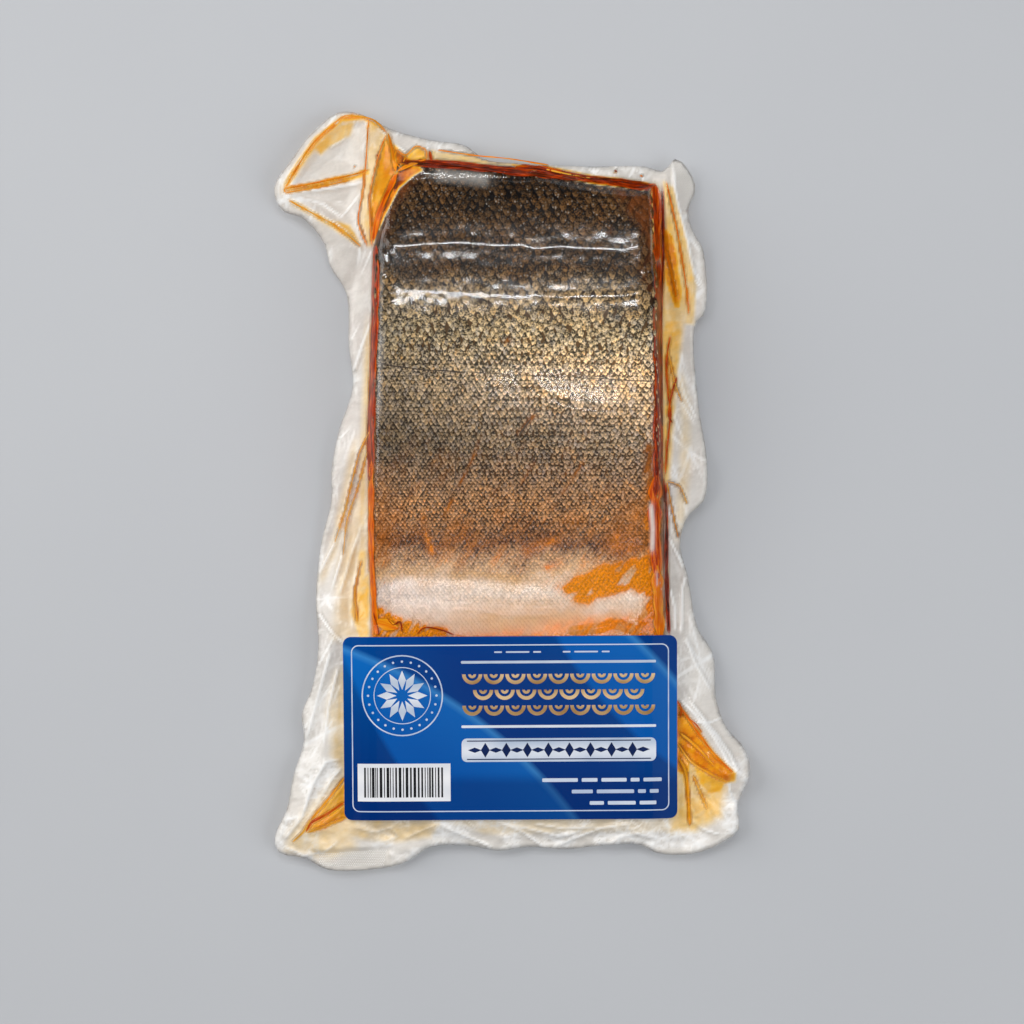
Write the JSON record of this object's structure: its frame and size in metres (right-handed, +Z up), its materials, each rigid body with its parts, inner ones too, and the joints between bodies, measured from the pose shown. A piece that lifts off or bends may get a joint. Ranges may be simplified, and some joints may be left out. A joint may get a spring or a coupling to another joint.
{
  "type": "vacuum packed smoked salmon side",
  "caption": "Skin-on block of cold-smoked salmon side in a clear vacuum bag with wrinkled film edges, a drawn-up corner and a blank-worded printed label.",
  "frame": {"origin": "on the table under the middle of the pack's outline", "axes": "+Z up from the flat underside towards the skin, +Y along the pack from the label towards the fish's back, +X to the right as the label is read"},
  "size_m": [0.182, 0.2906, 0.028],
  "materials": {
    "film": "clear glossy bag film over the fish, milky and wrinkled round it",
    "label_blue": "smooth printed label with a satin varnish, blue swells",
    "salmon_skin": "wet scaled skin, nearly black on the back, bronze along the flank, silver on the belly",
    "salmon_flesh": "moist orange cut flesh with pale lines",
    "fish_oil": "amber oil pooled in the folds of the bag",
    "label_silver": "pale silver print",
    "label_gold": "warm gold print",
    "label_dark": "dark print"
  },
  "bodies": {
    "root": {"vacuum_bag": "film", "label": "label_blue"}
  },
  "joints": []
}
